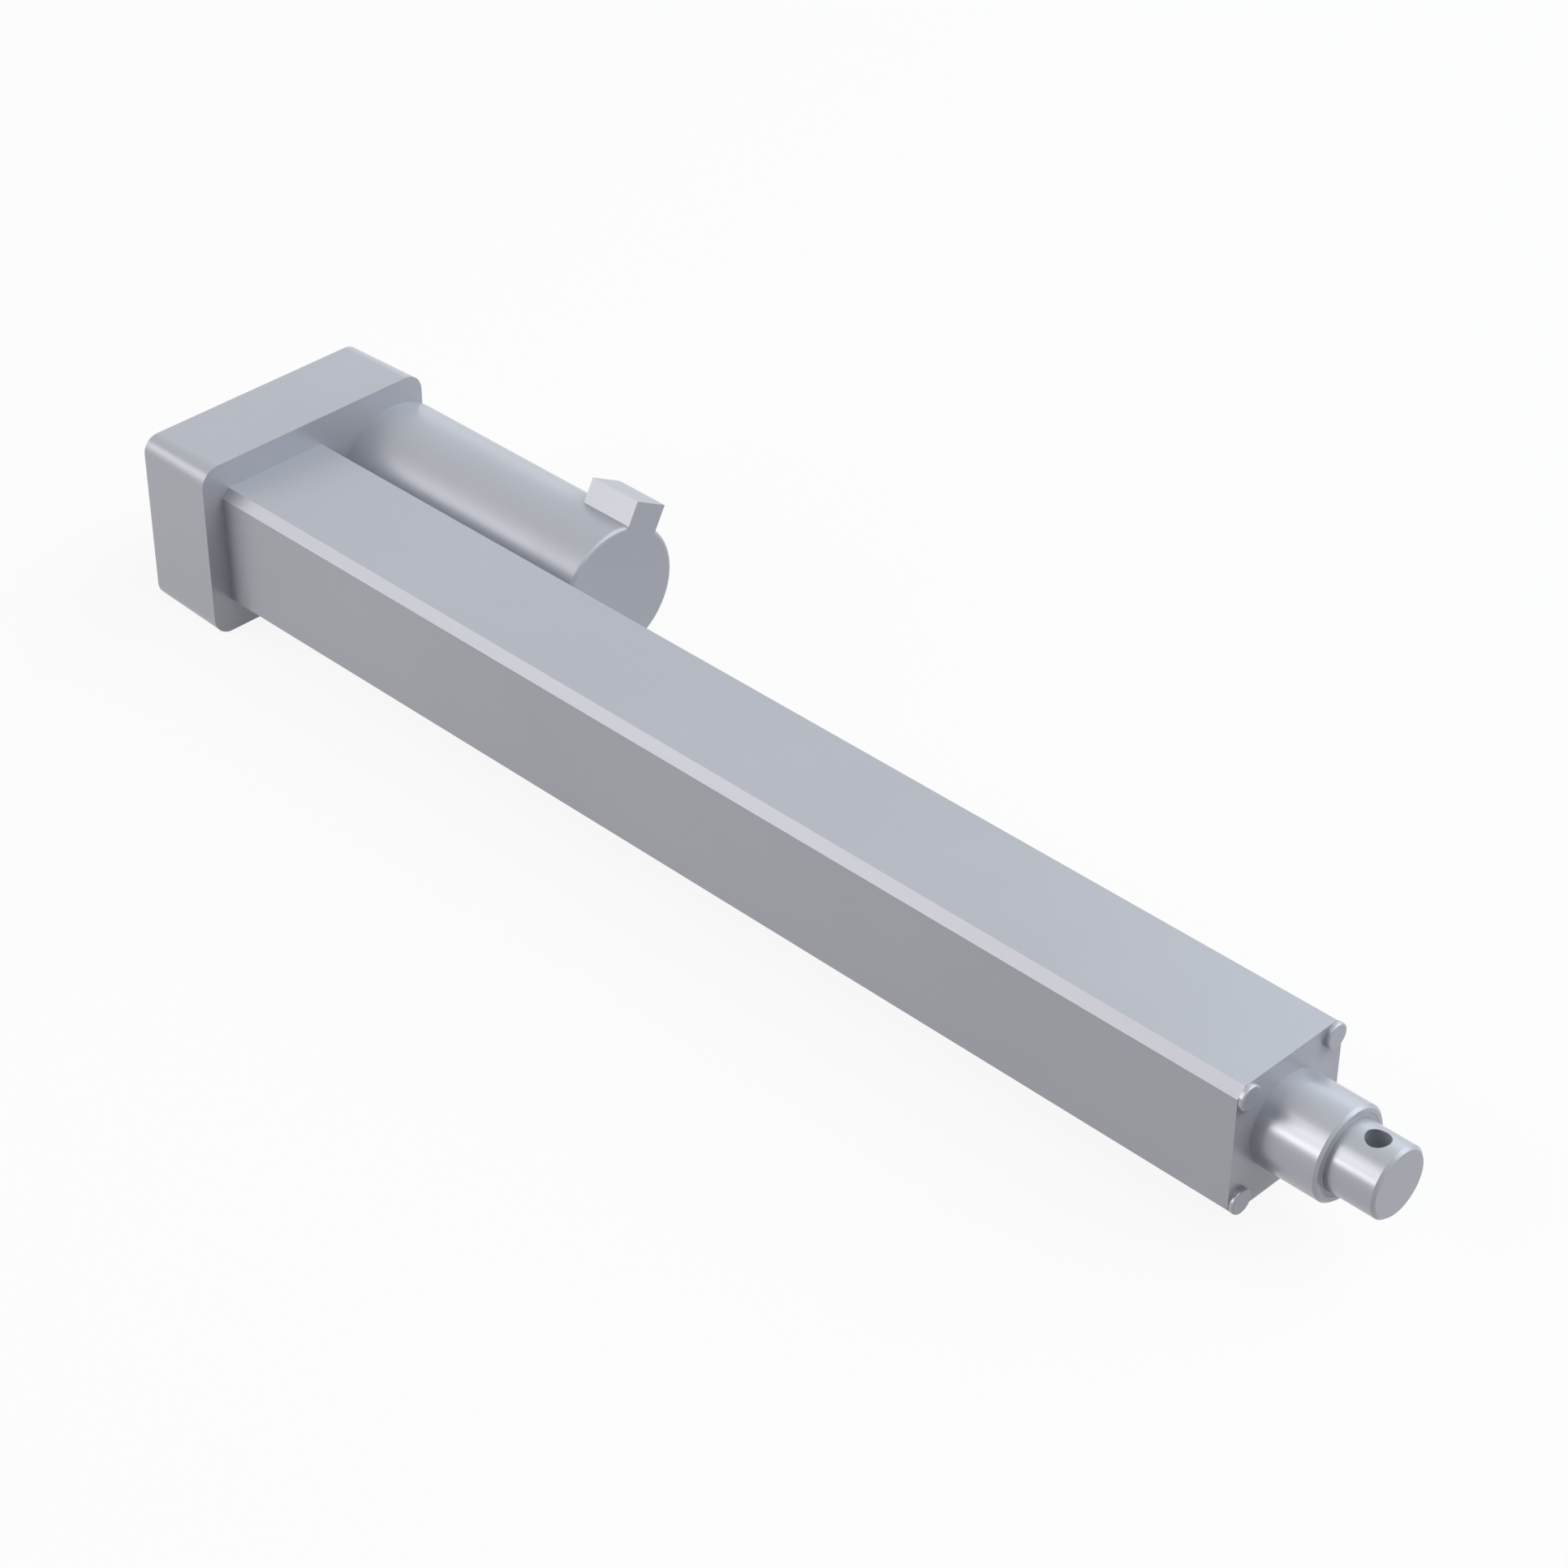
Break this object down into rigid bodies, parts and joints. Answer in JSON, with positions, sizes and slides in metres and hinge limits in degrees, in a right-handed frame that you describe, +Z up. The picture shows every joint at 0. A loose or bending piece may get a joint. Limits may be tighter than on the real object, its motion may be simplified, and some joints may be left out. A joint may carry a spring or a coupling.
{
  "type": "electric linear actuator",
  "caption": "Electric linear actuator: square tube with a round extending rod and cross hole, gear housing with a rear eye, and a motor lying beside the tube.",
  "frame": {"origin": "middle of the rear eye's pin bore, on the axis of the tube, lead screw and rod", "axes": "+X is the way the rod extends, +Y is the side where the motor lies, +Z is up, along both pin holes"},
  "size_m": [0.696, 0.1384, 0.085],
  "materials": {
    "cast_housing": "satin light blue-grey",
    "tube_aluminium": "satin anodised",
    "motor_metal": "satin light blue-grey",
    "rod_steel": "finely ground",
    "screw_steel": "turned",
    "bearing_steel": "ground",
    "gear_steel": "oiled",
    "bronze": "sintered",
    "copper": "enamelled",
    "magnet": "ground ferrite",
    "dark_plastic": "matt",
    "pale_plastic": "matt",
    "board": "matt laminate",
    "seal_rubber": "matt"
  },
  "bodies": {
    "housing": {"gear_housing": "cast_housing", "rear_cover": "cast_housing", "eye_bush": "bronze", "cover_gasket": "seal_rubber", "cover_screws": "screw_steel", "outer_tube": "tube_aluminium", "tube_screws": "screw_steel", "bearing_carrier": "tube_aluminium", "carrier_screws": "screw_steel", "screw_bearing_outer_rings": "bearing_steel", "screw_bearing_balls": "bearing_steel", "outer_bearing_spacer": "bearing_steel", "front_head": "tube_aluminium", "rod_collar": "tube_aluminium", "front_screws": "screw_steel", "guide_bush": "bronze", "rod_seal": "seal_rubber", "wiper_seal": "seal_rubber", "front_buffer": "seal_rubber", "rear_buffer": "seal_rubber", "sensor_strip": "board", "reed_switches": "dark_plastic", "idler_axle": "bearing_steel", "motor_front_plate": "motor_metal", "motor_can": "motor_metal", "motor_screws": "screw_steel", "motor_magnets": "magnet", "motor_end_cap": "motor_metal", "connector_contacts": "bronze", "motor_sleeves": "bronze", "motor_brushes": "dark_plastic", "brush_holder": "dark_plastic"},
    "motor_rotor": {"motor_shaft": "bearing_steel", "armature_core": "bearing_steel", "armature_winding": "copper", "commutator": "copper", "motor_pinion": "gear_steel"},
    "idler": {"idler_wheel": "gear_steel", "idler_pinion": "gear_steel", "idler_bushes": "bronze"},
    "screw": {"lead_screw": "bearing_steel", "gear_key": "screw_steel", "screw_wheel": "gear_steel", "spacer_sleeve": "bearing_steel", "lock_nut": "screw_steel", "screw_bearing_inner_rings": "bearing_steel", "inner_bearing_spacer": "bearing_steel", "screw_guide_ring": "pale_plastic"},
    "rod": {"extension_rod": "rod_steel", "rod_end": "rod_steel", "piston": "tube_aluminium", "guide_keys": "pale_plastic", "wear_rings": "pale_plastic", "position_magnet": "magnet", "drive_nut": "bronze", "nut_retainer": "screw_steel"}
  },
  "joints": [
    {"name": "motor_spin", "type": "hinge", "parent": "housing", "child": "motor_rotor", "pos_m": [0.12, 0.06685, 0.0005], "axis": [-1, 0, 0], "range_deg": [0, 165887.5]},
    {"name": "idler_spin", "type": "hinge", "parent": "housing", "child": "idler", "pos_m": [0.04, 0.03677, -0.01053], "axis": [-1, 0, 0], "range_deg": [-69120, 0]},
    {"name": "screw_spin", "type": "hinge", "parent": "housing", "child": "screw", "pos_m": [0.3, 0, 0], "axis": [-1, 0, 0], "range_deg": [0, 28800]},
    {"name": "rod_slide", "type": "slide", "parent": "housing", "child": "rod", "axis": [1, 0, 0], "range_m": [0, 0.4]}
  ],
  "couplings": [
    {"joint": "idler_spin", "follows": "motor_spin", "ratio": -0.41667},
    {"joint": "screw_spin", "follows": "motor_spin", "ratio": 0.17361},
    {"joint": "rod_slide", "follows": "motor_spin", "m_per_rad": 0.00013816}
  ]
}
